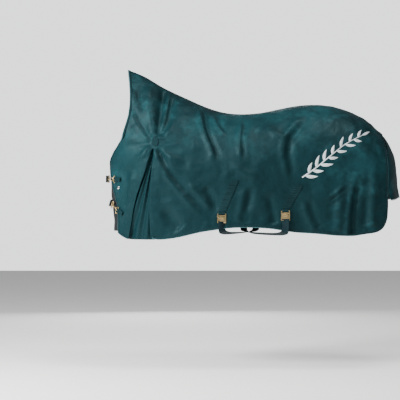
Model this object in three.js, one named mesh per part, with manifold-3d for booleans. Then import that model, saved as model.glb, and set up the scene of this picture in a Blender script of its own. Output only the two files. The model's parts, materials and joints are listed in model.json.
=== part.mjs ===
// A high-neck turnout rug for a riding horse, in the shape it has when worn, in millimetres.
// +X points to the tail, +Y to the horse's right and +Z up. The origin is on the underside of the
// lining at the lowest point of the back, where the horse carries the rug.

import * as THREE from "three";
import { mergeVertices } from "three/addons/utils/BufferGeometryUtils.js";
import Module from "manifold-3d";

const wasm = await Module();
wasm.setup();

// ---------------------------------------------------------------- materials

const finish = (color, roughness, metalness = 0) =>
  new THREE.MeshStandardMaterial({ color, roughness, metalness });

const outerCloth = finish(0x1d4a50, 0.55);
const liningCloth = finish(0x101416, 0.8);
const bindingTape = finish(0x12302f, 0.7);
const reflectivePiping = finish(0xa9b2b4, 0.35, 0.2);
const webbing = finish(0x163a37, 0.75);
const brass = finish(0xb8964f, 0.3, 1);
const nickel = finish(0xd5d8da, 0.25, 1);

// ---------------------------------------------------------------- driving dimensions

// The cloth's layers, as distances inwards from the rug's outer face.
const outerLayer = { from: 0, to: -2.6 };
const liningLayer = { from: -3.2, to: -4.6 };
const underlapLayer = { from: -12, to: -14.4 };
const seamGap = 0.25; // half the gap between two cloth pieces that meet
const bindingDepth = 5.2; // how far the edge binding stands past the cloth
const bindingGap = 1.6;

// The body's outline seen from the side, as [x, z].
const toplinePoints = [
  [-760, 316], [-669, 287], [-562, 244], [-437, 168], [-312, 110], [-187, 52], [-75, 15], [50, 4.6],
  [175, 16], [312, 48], [437, 68], [531, 68], [656, 47], [750, 10], [844, -50], [906, -112],
  [950, -175], [985, -245], [1003, -330], [1008, -450],
];
const hemPoints = [
  [-723, -735], [-680, -765], [-628, -781], [-560, -777], [-420, -771], [-310, -750], [-249, -731],
  [-158, -717], [-60, -701], [60, -697], [200, -702], [265, -713], [356, -728], [477, -733],
  [560, -742], [650, -749], [760, -744], [825, -743],
];
const necklinePoints = [
  [-669, 287], [-655, 175], [-651, 65], [-662, -38], [-705, -148], [-764, -246], [-785, -270],
];
const chestEdgePoints = [
  [-785, -270], [-777, -350], [-764, -445], [-739, -544], [-726, -600], [-723, -735],
];
const shoulderSeamPoints = [[-437, 168], [-475, 20], [-492, -120], [-498, -200]];
const gussetFrontPoints = [
  [-498, -200], [-520, -258], [-568, -400], [-612, -520], [-640, -660], [-655, -776],
];
const gussetRearPoints = [[-498, -200], [-515, -330], [-530, -520], [-530, -650], [-522, -776]];
const rearEdgePoints = [
  [906, -112], [915, -170], [922, -240], [927, -330], [928, -450], [928, -560], [925, -640],
  [905, -705], [870, -737], [825, -743],
];

// The chest's and the rump's front and rear outlines, as [z, x].
const chestLinePoints = [
  [-800, -766], [-694, -769], [-560, -778], [-431, -787], [-340, -788], [-270, -790], [0, -976], [320, -1200],
];
const tailLinePoints = [
  [-800, 1006], [-444, 1006], [-344, 1005], [-294, 998], [-206, 967], [-156, 937], [-112, 906],
  [-75, 875], [-50, 844], [-6, 781], [12, 750], [50, 656], [67, 531],
];

// The body seen from the front: its half width, how far below the topline it is reached, and how
// round the back is, from a roof at 1 to a barrel at 2, each as [x, value].
const halfWidthPoints = [
  [-850, 215], [-700, 235], [-550, 268], [-300, 305], [0, 322], [300, 318], [500, 308], [700, 296],
  [900, 285], [1000, 283],
];
const roofDepthPoints = [
  [-800, 720], [-700, 690], [-500, 560], [-250, 450], [0, 370], [300, 340], [1000, 310],
];
const roundnessPoints = [[-700, 1.35], [-450, 1.5], [-200, 1.8], [50, 2.05], [400, 2.2], [1000, 2.1]];
const chestDepth = 260;
const rumpDepth = 190;

// ---------------------------------------------------------------- curves and the body's surface

// A smooth function of one number through [at, value] points, level past its ends.
function smoothThrough(points) {
  const slope = (i) => {
    const [a, b] = [points[Math.max(i - 1, 0)], points[Math.min(i + 1, points.length - 1)]];
    return (b[1] - a[1]) / (b[0] - a[0]);
  };
  return (at) => {
    const x = THREE.MathUtils.clamp(at, points[0][0], points.at(-1)[0]);
    let i = points.findIndex((p) => p[0] >= x) - 1;
    i = Math.max(i, 0);
    const [[x0, y0], [x1, y1]] = [points[i], points[i + 1]];
    const h = x1 - x0;
    const t = (x - x0) / h;
    const [t2, t3] = [t * t, t * t * t];
    return (
      (2 * t3 - 3 * t2 + 1) * y0 + (t3 - 2 * t2 + t) * h * slope(i) +
      (3 * t2 - 2 * t3) * y1 + (t3 - t2) * h * slope(i + 1)
    );
  };
}

const toplineZ = smoothThrough(toplinePoints);
const chestLineX = smoothThrough(chestLinePoints);
const tailLineX = smoothThrough(tailLinePoints);
const halfWidth = smoothThrough(halfWidthPoints);
const roofDepth = smoothThrough(roofDepthPoints);
const roundness = smoothThrough(roundnessPoints);

const rounded = (t, n) => Math.pow(1 - Math.pow(1 - t, n), 1 / n);
const share = (t) => THREE.MathUtils.clamp(t, 1e-6, 1);

// The left half's distance from the middle plane at a place in the side view.
function breadth(x, z) {
  const below = share((toplineZ(x) - z) / roofDepth(x));
  const ahead = share((tailLineX(z) - x) / rumpDepth);
  const behind = share((x - chestLineX(z)) / chestDepth);
  const nearest = Math.pow(Math.pow(below, -3) + Math.pow(ahead, -3) - 1, -1 / 3);
  return halfWidth(x) * rounded(nearest, roundness(x)) * rounded(behind, 2);
}

const outline = (points) => new THREE.SplineCurve(points.map(([x, z]) => new THREE.Vector2(x, z)));

// The stretch of the topline or the hem between two x, as a function of 0 to 1.
const stretchOf = (heightAt, x0, x1) => (u) => {
  const x = THREE.MathUtils.lerp(x0, x1, u);
  return new THREE.Vector2(x, heightAt(x));
};

// A four-sided patch of the side view, from its top, bottom, front and rear edges.
function patch(top, bottom, front, rear) {
  return (u, v) => {
    const across = front(v).clone().lerp(rear(v), u);
    const down = top(u).clone().lerp(bottom(u), v);
    const corners = front(0).clone().lerp(rear(0), u).lerp(front(1).clone().lerp(rear(1), u), v);
    return across.add(down).sub(corners);
  };
}

// A place on the left half's outer face, moved out along the face's normal.
function onBody(place, u, v, out) {
  const at = (a, b) => {
    const p = place(a, b);
    return new THREE.Vector3(p.x, -seamGap - breadth(p.x, p.y), p.y);
  };
  const step = 1e-3;
  const [u0, u1] = [Math.max(u - step, 0), Math.min(u + step, 1)];
  const [v0, v1] = [Math.max(v - step, 0), Math.min(v + step, 1)];
  const along = at(u1, v).sub(at(u0, v));
  const down = at(u, v1).sub(at(u, v0));
  const normal = along.cross(down).normalize().negate();
  const moved = at(u, v).addScaledVector(normal, out);
  moved.y = Math.min(moved.y, -seamGap);
  return moved;
}

// The body's face at one place in the side view: the point and its outward normal.
function faceAt(x, z) {
  const place = (u, v) => new THREE.Vector2(x + 10 * (u - 0.5), z - 10 * (v - 0.5));
  const point = onBody(place, 0.5, 0.5, 0);
  const normal = onBody(place, 0.5, 0.5, 1).sub(point).normalize();
  return { point, normal };
}

// ---------------------------------------------------------------- solids

// A box whose points are moved by a function of their shares along, across and through it. Its last
// face is split along the same diagonals as the opposite one, so that layers can lie close together.
function formed(alongSteps, acrossSteps, move) {
  const box = new THREE.BoxGeometry(1, 1, 1, alongSteps, acrossSteps, 1);
  const { start, count } = box.groups[5];
  for (let i = start; i < start + count; i += 6) {
    const [a, b, d, , c] = box.index.array.slice(i, i + 5);
    box.index.array.set([a, b, c, a, c, d], i);
  }
  const at = box.getAttribute("position");
  for (let i = 0; i < at.count; i++) {
    const p = move(at.getX(i) + 0.5, at.getY(i) + 0.5, at.getZ(i) + 0.5);
    at.setXYZ(i, p.x, p.y, p.z);
  }
  return box;
}

const solidOf = (geometry) => {
  const bare = geometry.clone();
  bare.deleteAttribute("normal");
  bare.deleteAttribute("uv");
  const merged = mergeVertices(bare, 1e-4);
  return new wasm.Manifold(
    new wasm.Mesh({
      numProp: 3,
      vertProperties: merged.getAttribute("position").array,
      triVerts: new Uint32Array(merged.index.array),
    }),
  );
};

const geometryOf = (solid) => {
  const { vertProperties, triVerts } = solid.getMesh();
  return new THREE.BufferGeometry()
    .setAttribute("position", new THREE.BufferAttribute(vertProperties, 3))
    .setIndex(new THREE.BufferAttribute(triVerts, 1));
};

const joined = (...parts) => geometryOf(parts.map(solidOf).reduce((a, b) => a.add(b)));
const cutBy = (body, ...tools) =>
  geometryOf(tools.map(solidOf).reduce((a, b) => a.subtract(b), solidOf(body)));

// A round rod along a curve, closed at both ends.
function rod(curve, radius, steps, sides = 8) {
  const section = new THREE.Shape();
  section.absarc(0, 0, radius, 0, 2 * Math.PI);
  const points = section.getPoints(sides / 2).slice(0, -1);
  return new THREE.ExtrudeGeometry(new THREE.Shape(points), { extrudePath: curve, steps, curveSegments: 1 });
}

// A round wire bent into a loop, so it has no ends to close.
const wireLoop = (loop, radius, steps) => new THREE.TubeGeometry(loop, steps, radius, 8, true);

// A flat strap along a curve, whose width lies along the way that widthAt gives for a share of it.
function strap(curve, width, thickness, steps, widthAt) {
  return formed(steps, 1, (along, across, through) => {
    const t = along;
    const tangent = curve.getTangent(t);
    const normal = tangent.clone().cross(widthAt(t)).normalize();
    const wide = normal.clone().cross(tangent);
    return curve
      .getPoint(t)
      .addScaledVector(wide, (across - 0.5) * width)
      .addScaledVector(normal, (through - 0.5) * thickness);
  });
}

const spline = (points, closed = false) =>
  new THREE.CatmullRomCurve3(points.map((p) => new THREE.Vector3(...p)), closed, "catmullrom", 0.5);

const block = (x, y, z, at = [0, 0, 0]) => new THREE.BoxGeometry(x, y, z).translate(...at);

// ---------------------------------------------------------------- the rug as a scene

const rug = new THREE.Group();

function add(name, geometry, material, parent = rug) {
  const mesh = new THREE.Mesh(geometry, material);
  mesh.name = name;
  parent.add(mesh);
  return mesh;
}

// The same piece on both sides: the right one is the left one's mirror image.
function addPair(name, geometry, material) {
  add(`left_${name}`, geometry, material);
  add(`right_${name}`, geometry, material).scale.y = -1;
}

// ---------------------------------------------------------------- cloth panels

const frontGrid = { columns: 7, rows: 16 };
const sideGrid = { columns: 18, rows: 16 };
const gussetGrid = { columns: 4, rows: 8 };
const apexRow = 7; // the row that runs from the neckline's foot to the gusset's point
const rowPower = 1.8; // packs the rows above that one closer near the topline
const columnPower = 1.4; // packs the front panel's columns closer near the chest

// An edge made of two curves that meet at the row of the gusset's point.
const downTo = (upper, lower) => {
  const [over, under] = [outline(upper), outline(lower)];
  const apex = apexRow / frontGrid.rows;
  return (v) =>
    v < apex ? over.getPointAt(Math.pow(v / apex, rowPower)) : under.getPointAt((v - apex) / (1 - apex));
};

const hemZ = smoothThrough(hemPoints);
const shoulderTopX = shoulderSeamPoints[0][0];
const tailHeadX = rearEdgePoints[0][0];
const gussetFrontX = gussetFrontPoints.at(-1)[0];
const gussetRearX = gussetRearPoints.at(-1)[0];

const rearCurve = outline(rearEdgePoints);
const frontPlace = patch(
  stretchOf(toplineZ, necklinePoints[0][0], shoulderTopX),
  stretchOf(hemZ, hemPoints[0][0], gussetFrontX),
  downTo(necklinePoints, chestEdgePoints),
  downTo(shoulderSeamPoints, gussetFrontPoints),
);
const sidePlace = patch(
  stretchOf(toplineZ, shoulderTopX, tailHeadX),
  stretchOf(hemZ, gussetRearX, hemPoints.at(-1)[0]),
  downTo(shoulderSeamPoints, gussetRearPoints),
  (v) => rearCurve.getPointAt(Math.pow(v, 1.5)),
);
const frontColumns = (place) => (u, v) => place(Math.pow(u, columnPower), v);

// A layer of cloth over a patch, with a margin in from each edge, as shares of the patch.
function clothLayer(place, grid, layer, margin) {
  return formed(grid.columns, grid.rows, (along, across, through) => {
    const u = THREE.MathUtils.lerp(margin.front, 1 - margin.rear, along);
    const v = THREE.MathUtils.lerp(margin.top, 1 - margin.bottom, 1 - across);
    return onBody(place, u, v, THREE.MathUtils.lerp(layer.to, layer.from, through));
  });
}

const frontMargin = { front: 0.03, rear: 0.004, top: 0, bottom: 0.004 };
const sideMargin = { front: 0.001, rear: 0.003, top: 0, bottom: 0.004 };

const frontCloth = frontColumns(frontPlace);

addPair("front_panel", clothLayer(frontCloth, frontGrid, outerLayer, frontMargin), outerCloth);
addPair("side_panel", clothLayer(sidePlace, sideGrid, outerLayer, sideMargin), outerCloth);
addPair("front_lining", clothLayer(frontCloth, frontGrid, liningLayer, frontMargin), liningCloth);
addPair("side_lining", clothLayer(sidePlace, sideGrid, liningLayer, sideMargin), liningCloth);

// The shoulder gusset: a wedge of spare cloth, set in behind the front panel so that the leg can swing.
const gussetSet = { from: -11.5, to: -14.1 };
const gussetPlace = (u, v) => {
  const down = 0.06 + 0.935 * v;
  const front = outline(gussetFrontPoints).getPointAt(down);
  const rear = outline(gussetRearPoints).getPointAt(down);
  return front.lerp(rear, THREE.MathUtils.lerp(-0.22, 1.3, u));
};
const noMargin = { front: 0, rear: 0, top: 0, bottom: 0 };
addPair("shoulder_gusset", clothLayer(gussetPlace, gussetGrid, gussetSet, noMargin), outerCloth);

// The shaped patch that holds the top of the gusset's pleats.
const gussetPatch = { x: -491, z: -174, width: 42, height: 62 };
const patchLayer = { from: 2.4, to: 0.9 };
const patchPlace = ({ x, z, width, height }) => (u, v) =>
  new THREE.Vector2(x + (u - 0.5) * width * (1 - 0.35 * Math.abs(2 * v - 1)), z - (v - 0.5) * height);
const patchGrid = { columns: 3, rows: 4 };
addPair("gusset_patch", clothLayer(patchPlace(gussetPatch), patchGrid, patchLayer, noMargin), outerCloth);

// The dark flap under the chest opening, which closes the gap between the two front edges.
const underlap = { top: -300, bottom: -722, halfSpread: 160, body: 222, columns: 8, rows: 6 };
function underlapAt(along, across, through) {
  const y = THREE.MathUtils.lerp(underlap.halfSpread, -underlap.halfSpread, along);
  const z = THREE.MathUtils.lerp(underlap.bottom, underlap.top, across);
  const turn = Math.asin(y / underlap.body);
  const inward = -THREE.MathUtils.lerp(underlapLayer.to, underlapLayer.from, through);
  const front = chestLineX(z) + chestDepth * (1 - Math.cos(turn));
  return new THREE.Vector3(front + inward * Math.cos(turn), y - inward * Math.sin(turn), z);
}
add("chest_underlap", formed(underlap.columns, underlap.rows, underlapAt), liningCloth);

// The tape that seals the seam along the back, inside the lining.
const seamTape = { halfWidth: 12, from: -5.2, to: -6.2, start: -655, end: 890, columns: 26 };
function seamTapeAt(along, across, through) {
  const x = THREE.MathUtils.lerp(seamTape.start, seamTape.end, along);
  const rise = toplineZ(x + 1) - toplineZ(x - 1);
  const normal = new THREE.Vector2(-rise, 2).normalize();
  const y = (across - 0.5) * 2 * seamTape.halfWidth;
  const droop = 9 + (y * y) / 60;
  const down = THREE.MathUtils.lerp(seamTape.to, seamTape.from, through) - droop;
  return new THREE.Vector3(x + normal.x * down, y, toplineZ(x) + normal.y * down);
}
add("back_seam_tape", formed(seamTape.columns, 2, seamTapeAt), bindingTape);

// ---------------------------------------------------------------- edge bindings

// A bound edge: a soft bead along one edge of a patch, standing just past the cloth. It bends where
// the cloth's own rows or columns end, from one of them to another.
const bindingTrim = 0.0006;
const nearby = 0.01;
function binding(place, edge, count, from, to) {
  return formed(Math.abs(to - from), 1, (along, across, through) => {
    const line = THREE.MathUtils.lerp(from, to, along) / count;
    const [low, high] = [Math.min(from, to) / count, Math.max(from, to) / count];
    const s = THREE.MathUtils.clamp(line, low + bindingTrim, high - bindingTrim);
    const bead = THREE.MathUtils.lerp(liningLayer.to - 0.4, outerLayer.from + 0.6, through);
    const rim = onBody(place, ...edge.at(s), bead);
    const [before, after] = [Math.max(s - nearby, 0), Math.min(s + nearby, 1)];
    const tangent = onBody(place, ...edge.at(after), bead).sub(onBody(place, ...edge.at(before), bead));
    const inwards = onBody(place, ...edge.inside(s), bead).sub(rim).projectOnPlane(tangent.normalize());
    return rim.addScaledVector(inwards.normalize(), -THREE.MathUtils.lerp(bindingDepth, bindingGap, across));
  });
}

const rowsOf = ({ top, bottom }, s) => THREE.MathUtils.lerp(top, 1 - bottom, s);
const columnsOf = ({ front, rear }, s) => THREE.MathUtils.lerp(front, 1 - rear, s);
const atFront = (margin) => ({
  at: (s) => [margin.front, rowsOf(margin, s)],
  inside: (s) => [margin.front + nearby, rowsOf(margin, s)],
});
const atRear = (margin) => ({
  at: (s) => [1 - margin.rear, rowsOf(margin, s)],
  inside: (s) => [1 - margin.rear - nearby, rowsOf(margin, s)],
});
const atHem = (margin) => ({
  at: (s) => [columnsOf(margin, s), 1 - margin.bottom],
  inside: (s) => [columnsOf(margin, s), 1 - margin.bottom - nearby],
});

const flapRow = 1; // the rear edge's row where the tail flap starts
const chestEdge = atFront(frontMargin);
addPair("neck_binding", binding(frontCloth, chestEdge, frontGrid.rows, 0, apexRow), bindingTape);
addPair(
  "chest_edge_binding",
  binding(frontCloth, chestEdge, frontGrid.rows, apexRow, frontGrid.rows),
  bindingTape,
);
for (const [name, place, grid, margin] of [
  ["front_hem_binding", frontCloth, frontGrid, frontMargin],
  ["side_hem_binding", sidePlace, sideGrid, sideMargin],
]) {
  addPair(name, binding(place, atHem(margin), grid.columns, 0, grid.columns), bindingTape);
}
const rearEdge = binding(sidePlace, atRear(sideMargin), sideGrid.rows, sideGrid.rows, flapRow);
addPair("rear_edge_binding", rearEdge, bindingTape);

// ---------------------------------------------------------------- tail flap

const flap = {
  top: -150, bottom: -512, halfWidth: 205, dip: 20, clearance: 9, columns: 8, rows: 8,
  body: 283, // the radius that it bends round
};
const rearEdgeAt = smoothThrough(rearEdgePoints.slice(0, 6).map(([x, z]) => [-z, breadth(x, z)]));
const flapHalfWidth = (z) => Math.min(flap.halfWidth, rearEdgeAt(-z) - flap.clearance);
const flapOuter = { from: 4.5, to: 1.5 };
const flapInner = { from: 0.9, to: -0.5 };
function flapAt(along, across, out) {
  const level = THREE.MathUtils.lerp(flap.bottom, flap.top, across);
  const y = THREE.MathUtils.lerp(-1, 1, along) * flapHalfWidth(level);
  const z = level - flap.dip * (1 - across) * Math.pow(2 * along - 1, 2);
  const turn = Math.asin(y / flap.body);
  const kick = 15 * Math.max(0, (-430 - level) / 82);
  const rear = tailLineX(z) + kick - rumpDepth * (1 - Math.cos(turn));
  const slope = (tailLineX(z + 4) - tailLineX(z - 4)) / 8;
  const normal = new THREE.Vector3(Math.cos(turn), Math.sin(turn), -slope).normalize();
  return new THREE.Vector3(rear, y, z).addScaledVector(normal, out);
}
const flapLayer = ({ from, to }) =>
  formed(flap.columns, flap.rows, (a, b, c) => flapAt(a, b, THREE.MathUtils.lerp(to, from, c)));
const flapEdge = formed(flap.columns, 1, (a, b, c) => {
  const point = flapAt(a, 0, THREE.MathUtils.lerp(flapInner.to, flapOuter.from, c));
  point.z -= THREE.MathUtils.lerp(bindingDepth, bindingGap, b);
  return point;
});
add("tail_flap", flapLayer(flapOuter), outerCloth);
add("tail_flap_lining", flapLayer(flapInner), liningCloth);
add("tail_flap_binding", flapEdge, reflectivePiping);

// ---------------------------------------------------------------- chest closures

// Each closure is built along its own +X, from its anchor on the left front panel to the front of the
// chest, with +Y out of the chest and +Z up the strap's width.
const strapWidth = 38;
const strapThickness = 2.2;
const ringWire = 2;
const hookWire = 2.3;
const standOff = 14; // from the panel's face to the ring's bar

const dRing = () => {
  const half = [[0.6, 20.6], [4, 22], [11, 19.6], [17.5, 12]];
  const upper = half.map(([x, z]) => [x, 0, z]);
  const lower = half.map(([x, z]) => [x, 0, -z]).reverse();
  const loop = spline([[0, 0, 0], [0, 0, 15], ...upper, [20, 0, 0], ...lower, [0, 0, -15]], true);
  return wireLoop(loop, ringWire, 36);
};

// The webbing tab that holds the ring's bar: a loop round it, and a tail sewn to the panel.
const tab = { width: 27, hole: 2.9, wall: 1.7, tail: 42 };
const ringTab = () => {
  const r = tab.hole + tab.wall;
  const sewn = -standOff + 0.7;
  const outer = new THREE.Shape();
  outer.moveTo(-tab.tail, sewn);
  outer.lineTo(-12, sewn);
  outer.lineTo(0, -r);
  outer.absarc(0, 0, r, -Math.PI / 2, Math.PI / 2);
  outer.lineTo(-14, sewn + 4);
  outer.lineTo(-tab.tail, sewn + 3);
  const hole = new THREE.Path();
  hole.absarc(0, 0, tab.hole, 0, 2 * Math.PI, true);
  outer.holes.push(hole);
  const side = { depth: tab.width, bevelEnabled: false, curveSegments: 6 };
  return new THREE.ExtrudeGeometry(outer, side).translate(0, 0, -tab.width / 2);
};

// The snap hook: an oval wire bow with a gap that the gate closes, and a pin that turns in the eye.
const hook = { bow: 11, side: 36, nose: 17, hinge: 37, shank: 47, pin: 3, head: 5 };
const hookBow = () => {
  const arc = Array.from({ length: 9 }, (_, i) => {
    const turn = Math.PI / 2 + (i * Math.PI) / 8;
    return [hook.bow * (1 + Math.cos(turn)), hook.bow * Math.sin(turn), 0];
  });
  const line = spline([
    [hook.shank, 0, 0], [hook.shank - 4, 4.5, 0], [hook.side, hook.bow, 0], [24, hook.bow, 0],
    ...arc, [hook.nose - 2.5, -hook.bow, 0],
  ]);
  const root = spline([[hook.shank, 0, 0], [hook.shank - 2.5, -3, 0], [hook.hinge + 5.4, -hook.bow + 2, 0]]);
  const along = (radius, length, x) =>
    new THREE.CylinderGeometry(radius, radius, length, 14).rotateZ(Math.PI / 2).translate(x, 0, 0);
  return joined(
    rod(line, hookWire, 26),
    rod(root, hookWire, 4),
    along(5, 4, hook.shank + 1.4),
    along(hook.pin, 13, hook.shank + 7.5),
    along(hook.head, 2.6, hook.shank + 13.8),
  );
};
const hookGate = () =>
  rod(spline([[hook.hinge + 1.6, -hook.bow + 0.9, 0], [hook.nose + 0.4, -hook.bow, 0]]), 2.1, 2, 10);

// The eye: a barrel that the hook's pin turns in, on a frame that takes the strap.
const eye = { start: 51.6, barrel: 7, frame: 14, wire: 2.2 };
const strapBar = eye.start + eye.frame + 6;
const swivelEye = () => {
  const x0 = eye.start + eye.barrel / 2;
  const half = strapWidth / 2 + 3.4;
  const side = [[x0, half - 3], [x0 + 3, half], [strapBar - 3, half], [strapBar, half - 3]];
  const upper = side.map(([x, z]) => [x, 0, z]);
  const lower = side.map(([x, z]) => [x, 0, -z]).reverse();
  const frame = spline([[x0, 0, 0], ...upper, [strapBar, 0, 0], ...lower], true);
  const along = (radius, length) =>
    new THREE.CylinderGeometry(radius, radius, length, 14).rotateZ(Math.PI / 2).translate(x0, 0, 0);
  return cutBy(joined(wireLoop(frame, eye.wire, 40), along(6.2, eye.barrel)), along(3.5, eye.barrel + 4));
};

// The keeper: a flat loop that slides along the strap's two layers.
const keeper = { long: 9, wall: 1.8, gap: 0.7 };
const keeperRound = (width, depth) => {
  const inside = [depth + 2 * keeper.gap, width + 2 * keeper.gap];
  const outside = inside.map((size) => size + 2 * keeper.wall);
  return cutBy(block(keeper.long, ...outside), block(keeper.long + 4, ...inside));
};

// The closure's strap: its end folded round the eye's bar and back, then on round the chest.
const foldRadius = 3.9;
const foldPoints = (bar, tail) => [
  [bar + tail, -3.1, 0], [bar + tail / 2, -3.1, 0], [bar + 9, -3.1, 0],
  ...[1.5, 1.25, 1, 0.75, 0.5].map((a) => [
    bar + foldRadius * Math.cos(a * Math.PI), foldRadius * Math.sin(a * Math.PI), 0,
  ]),
  [bar + 9, 3.1, 0], [bar + tail / 2, 3.1, 0], [bar + tail, 3.1, 0], [bar + tail + 6, 3.1, 0],
];

// A place on the chest at a height and a turn from straight ahead, towards the horse's right.
function onChest(z, turn, out) {
  const front = chestLineX(z) + chestDepth * (1 - Math.cos(turn));
  const side = halfWidth(front) * Math.sin(turn);
  return new THREE.Vector3(front - out * Math.cos(turn), side + out * Math.sin(turn), z);
}

// Where a closure starts on the left front panel, its upward slope in degrees, and where its strap is
// sewn to the right front panel.
const closures = {
  upper: { x: -733, z: -404, slope: 2, sewnAt: -660 },
  lower: { x: -716, z: -596, slope: 28, sewnAt: -660 },
};
const hookRoll = 54;
const chestLean = 8; // turns a closure in towards the chest, which curves away from its anchor
const strapTail = 30;

for (const [name, { x, z, slope, sewnAt }] of Object.entries(closures)) {
  const { point, normal } = faceAt(x, z);
  const up = new THREE.Vector3(0, 0, 1);
  const outward = new THREE.Vector3(normal.x, normal.y, 0).normalize();
  const forward = outward.clone().cross(up);
  const lie = new THREE.Group();
  lie.position.copy(point).addScaledVector(outward, standOff);
  lie.quaternion.setFromRotationMatrix(new THREE.Matrix4().makeBasis(forward, outward, up));
  lie.rotateY(THREE.MathUtils.degToRad(-slope));
  lie.rotateZ(THREE.MathUtils.degToRad(-chestLean));
  rug.add(lie);
  add(`${name}_ring_tab`, ringTab(), webbing, lie);
  add(`${name}_d_ring`, dRing(), brass, lie);

  const hooked = new THREE.Group();
  hooked.position.x = 20 - ringWire - 2 * hookWire - 0.9;
  lie.add(hooked);
  const rolled = new THREE.Group();
  rolled.rotation.x = THREE.MathUtils.degToRad(hookRoll);
  hooked.add(rolled);
  add(`${name}_snap_hook`, hookBow(), brass, rolled);
  add(`${name}_snap_gate`, hookGate(), brass, rolled);
  add(`${name}_swivel_eye`, swivelEye(), brass, hooked);
  add(`${name}_strap_keeper`, keeperRound(strapWidth, 8.2), webbing, hooked).position.x = strapBar + 17;

  hooked.updateWorldMatrix(true, false);
  const fold = foldPoints(strapBar, strapTail);
  const start = hooked.localToWorld(new THREE.Vector3(...fold.at(-1)));
  const rise = start.z + 0.25 * (start.z - z);
  const turns = [0.02, 0.25, 0.5, 0.78].map((turn) =>
    onChest(THREE.MathUtils.lerp(start.z, rise, turn), turn, 11),
  );
  const sewn = faceAt(sewnAt, rise);
  const end = sewn.point.addScaledVector(sewn.normal, 4.2);
  end.y *= -1;
  const round = [...turns, end].map((p) => hooked.worldToLocal(p).toArray());
  const unturned = hooked.getWorldQuaternion(new THREE.Quaternion()).invert();
  const level = up.clone().applyQuaternion(unturned);
  const widthAt = (t) => up.clone().lerp(level, THREE.MathUtils.smoothstep(t, 0.74, 0.9));
  const chestStrap = strap(spline([...fold, ...round]), strapWidth, strapThickness, 48, widthAt);
  add(`${name}_chest_strap`, chestStrap, webbing, hooked);
}

// The round stud under the upper closure.
const stud = { x: -720, z: -455, radius: 10, height: 3 };
const studFace = faceAt(stud.x, stud.z);
const studMesh = add(
  "chest_stud",
  new THREE.CylinderGeometry(0.7 * stud.radius, stud.radius, stud.height, 24).translate(0, stud.height / 2, 0),
  nickel,
);
studMesh.position.copy(studFace.point).addScaledVector(studFace.normal, 0.9);
studMesh.quaternion.setFromUnitVectors(new THREE.Vector3(0, 1, 0), studFace.normal);

// ---------------------------------------------------------------- surcingles

// Each surcingle has a sewn band on either side, lined up with the strap that crosses under the belly.
const bandWidth = 50;
const beltWidth = 44;
const beltThickness = 2.2;
const plate = { wide: 54, thick: 2.6, slot: 5.4, rim: 4, step: 3.4 };
const surcingles = {
  front: { top: [-7, -410], foot: [-88, -604], off: [144, -620], offTop: [233, -416], lowest: -736 },
  rear: { top: [385, -440], foot: [298, -588], off: [62, -620], offTop: [146, -416], lowest: -742 },
};

// A sewn band on the left panel, from its top to its foot.
function sewnBand(top, foot) {
  const line = new THREE.Vector2(foot[0] - top[0], foot[1] - top[1]);
  const place = (u, v) => {
    const x = top[0] + line.x * v + (u - 0.5) * bandWidth;
    return new THREE.Vector2(x, top[1] + line.y * v);
  };
  return clothLayer(place, { columns: 2, rows: 8 }, { from: 2.8, to: 0.8 }, noMargin);
}

// The slot plate and the hook plate share one form: a plate with a slot for webbing, hung along −Z.
const slottedPlate = (long, slots) =>
  cutBy(
    block(plate.wide, plate.thick, long, [0, 0, -long / 2]),
    ...slots.map((z) => block(beltWidth + 2, 2 * plate.thick, plate.slot, [0, 0, z])),
  );
const slotPlateLong = 3 * plate.rim + 2 * plate.slot + 6;
const slotPlate = () =>
  slottedPlate(slotPlateLong, [-plate.rim - plate.slot / 2, -2 * plate.rim - 1.5 * plate.slot - 4]);

const hookPlateLong = 26;
const hookDrop = slotPlateLong + 2.4;
const plateStandOff = 9;

// The hook plate's tongue steps out over the slot plate's lowest bar and down through its slot.
const tongue = { wide: 22, thick: 2.2 };
const hookPlate = () => {
  const out = -plate.step - 0.6;
  const strip = new THREE.Shape();
  strip.moveTo(1, -1);
  strip.lineTo(1, out - tongue.thick);
  strip.lineTo(-11.4, out - tongue.thick);
  strip.lineTo(-11.4, 2.2);
  strip.lineTo(-9.2, 2.2);
  strip.lineTo(-9.2, out);
  strip.lineTo(-1.2, out);
  strip.lineTo(-1.2, -1);
  const hooking = new THREE.ExtrudeGeometry(strip, { depth: tongue.wide, bevelEnabled: false })
    .translate(0, 0, -tongue.wide / 2)
    .rotateY(Math.PI / 2);
  return joined(slottedPlate(hookPlateLong, [-hookPlateLong + plate.rim + plate.slot / 2]), hooking);
};

// The webbing loop that ties the slot plate to the foot of its band.
const loopBore = 2.9;
const plateLoop = () => {
  const r = loopBore + 1.5;
  const shape = new THREE.Shape();
  shape.moveTo(-11, 7.4);
  shape.lineTo(-11, 5.2);
  shape.lineTo(0, -r);
  shape.absarc(0, 0, r, -Math.PI / 2, Math.PI / 2);
  shape.lineTo(-4, 6.4);
  const hole = new THREE.Path();
  hole.absarc(0, 0, loopBore, 0, 2 * Math.PI, true);
  shape.holes.push(hole);
  const width = beltWidth - 4;
  return new THREE.ExtrudeGeometry(shape, { depth: width, bevelEnabled: false, curveSegments: 6 })
    .translate(0, 0, -width / 2)
    .rotateY(Math.PI / 2);
};

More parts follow.
